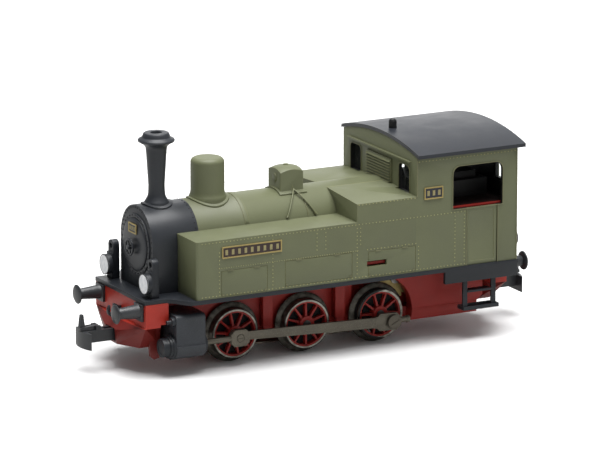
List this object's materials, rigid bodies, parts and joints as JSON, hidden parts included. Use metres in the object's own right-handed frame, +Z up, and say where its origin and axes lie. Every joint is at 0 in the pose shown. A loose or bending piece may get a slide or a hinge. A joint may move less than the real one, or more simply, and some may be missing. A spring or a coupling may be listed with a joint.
{
  "type": "model steam locomotive",
  "caption": "Small-gauge model side-tank steam locomotive with tall chimney, dome, sandbox, curved cab roof, spoked wheels and main rods to the rear axle.",
  "frame": {"origin": "rail level, midway between the rails, directly below the middle axle", "axes": "+X towards the chimney end, +Y to the locomotive's left, +Z up"},
  "size_m": [0.1162, 0.0382, 0.0545],
  "materials": {
    "frame_red": "satin",
    "steel": "satin",
    "body_green": "satin",
    "smokebox_black": "satin",
    "roof_grey": "matte",
    "satin_black": "satin",
    "buffer_black": "satin",
    "clear": "polished",
    "brass": "satin",
    "lens": "gloss",
    "yoke_steel": "satin",
    "insulator": "matte",
    "dark_steel": "satin",
    "wheel_red": "satin",
    "tyre_steel": "polished",
    "rubber": "matte",
    "rod_metal": "satin",
    "copper": "satin",
    "coupler_black": "satin",
    "pickup_steel": "satin"
  },
  "bodies": {
    "chassis": {"chassis_frame": "frame_red", "keeper_plate": "frame_red", "side_frames": "frame_red", "frame_screws": "steel", "gear_studs": "steel", "front_beam": "frame_red", "rear_beam": "frame_red", "running_board": "satin_black", "cab_steps": "satin_black", "body_shell": "body_green", "boiler": "body_green", "smokebox": "smokebox_black", "smokebox_door": "smokebox_black", "door_handwheel": "smokebox_black", "chimney": "smokebox_black", "steam_dome": "body_green", "sandbox": "body_green", "sand_pipes": "body_green", "cab_roof": "roof_grey", "louvre_panel": "body_green", "cab_doors": "body_green", "window_glazing": "clear", "cab_floor": "frame_red", "cab_interior": "satin_black", "backhead_fittings": "brass", "reach_rod": "frame_red", "plates": "brass", "lamp_housings": "satin_black", "lamp_lenses": "lens", "buffer_sleeves": "buffer_black", "buffer_heads": "buffer_black", "draw_hooks": "satin_black", "cylinders": "satin_black", "cylinder_covers": "satin_black", "motor_yoke": "yoke_steel", "brush_plate": "insulator"},
    "front_wheelset": {"axle_front": "dark_steel", "wheels_front": "wheel_red", "tyres_front": "tyre_steel"},
    "middle_wheelset": {"axle_middle": "dark_steel", "wheels_middle": "wheel_red", "tyres_middle": "tyre_steel"},
    "rear_wheelset": {"axle_rear": "dark_steel", "wheels_rear": "wheel_red", "tyres_rear": "tyre_steel", "traction_tyres": "rubber", "axle_gear": "brass"},
    "left_main_rod": {"main_rod_left": "rod_metal"},
    "right_main_rod": {"main_rod_right": "rod_metal"},
    "left_crosshead": {"crosshead_left": "rod_metal"},
    "right_crosshead": {"crosshead_right": "rod_metal"},
    "idler": {"idler_gear": "brass"},
    "compound": {"compound_gear": "brass"},
    "motor_armature": {"armature": "yoke_steel", "armature_windings": "copper"},
    "front_coupler": {"coupler_front": "coupler_black"},
    "front_hook": {"hook_front": "coupler_black"},
    "rear_coupler": {"coupler_rear": "coupler_black"},
    "rear_hook": {"hook_rear": "coupler_black"},
    "pickup": {"pickup_skid": "pickup_steel"}
  },
  "joints": [
    {"name": "front_axle", "type": "hinge", "parent": "chassis", "child": "front_wheelset", "pos_m": [0.01865, 0, 0.006], "axis": [0, 1, 0], "continuous": true},
    {"name": "middle_axle", "type": "hinge", "parent": "chassis", "child": "middle_wheelset", "pos_m": [0, 0, 0.006], "axis": [0, 1, 0], "continuous": true},
    {"name": "rear_axle", "type": "hinge", "parent": "chassis", "child": "rear_wheelset", "pos_m": [-0.01945, 0, 0.006], "axis": [0, 1, 0], "continuous": true},
    {"name": "left_rod_pin", "type": "hinge", "parent": "rear_wheelset", "child": "left_main_rod", "pos_m": [-0.02161, 0.01205, 0.00455], "axis": [0, 1, 0], "continuous": true},
    {"name": "right_rod_pin", "type": "hinge", "parent": "rear_wheelset", "child": "right_main_rod", "pos_m": [-0.0209, -0.01205, 0.00816], "axis": [0, 1, 0], "continuous": true},
    {"name": "left_piston_slide", "type": "slide", "parent": "chassis", "child": "left_crosshead", "axis": [1, 0, 0], "range_m": [-0.00042, 0.00478]},
    {"name": "right_piston_slide", "type": "slide", "parent": "chassis", "child": "right_crosshead", "axis": [1, 0, 0], "range_m": [-0.00109, 0.00411]},
    {"name": "idler_spin", "type": "hinge", "parent": "chassis", "child": "idler", "pos_m": [-0.02549, 0.0054, 0.01294], "axis": [0, 1, 0], "continuous": true},
    {"name": "compound_spin", "type": "hinge", "parent": "chassis", "child": "compound", "pos_m": [-0.02939, 0.0048, 0.01851], "axis": [0, 1, 0], "continuous": true},
    {"name": "armature_spin", "type": "hinge", "parent": "chassis", "child": "motor_armature", "pos_m": [-0.03503, 0, 0.0236], "axis": [0, 1, 0], "continuous": true},
    {"name": "front_coupler_swing", "type": "hinge", "parent": "chassis", "child": "front_coupler", "pos_m": [0.0415, 0, 0.0073], "axis": [0, 0, 1], "range_deg": [-7, 7]},
    {"name": "front_hook_lift", "type": "hinge", "parent": "front_coupler", "child": "front_hook", "pos_m": [0.0496, 0, 0.0093], "axis": [0, -1, 0], "range_deg": [0, 20]},
    {"name": "rear_coupler_swing", "type": "hinge", "parent": "chassis", "child": "rear_coupler", "pos_m": [-0.0499, 0, 0.0073], "axis": [0, 0, 1], "range_deg": [-7, 7]},
    {"name": "rear_hook_lift", "type": "hinge", "parent": "rear_coupler", "child": "rear_hook", "pos_m": [-0.058, 0, 0.0093], "axis": [0, 1, 0], "range_deg": [0, 20]},
    {"name": "pickup_lift", "type": "slide", "parent": "chassis", "child": "pickup", "axis": [0, 0, 1], "range_m": [0, 0.0008], "stiffness_N_per_m": 60, "springref_m": -0.001}
  ],
  "couplings": [
    {"joint": "left_rod_pin", "follows": "rear_axle", "ratio": -1},
    {"joint": "right_rod_pin", "follows": "rear_axle", "ratio": -1},
    {"joint": "idler_spin", "follows": "rear_axle", "ratio": -1.0909},
    {"joint": "compound_spin", "follows": "rear_axle", "ratio": 2},
    {"joint": "armature_spin", "follows": "rear_axle", "ratio": -5.6}
  ]
}
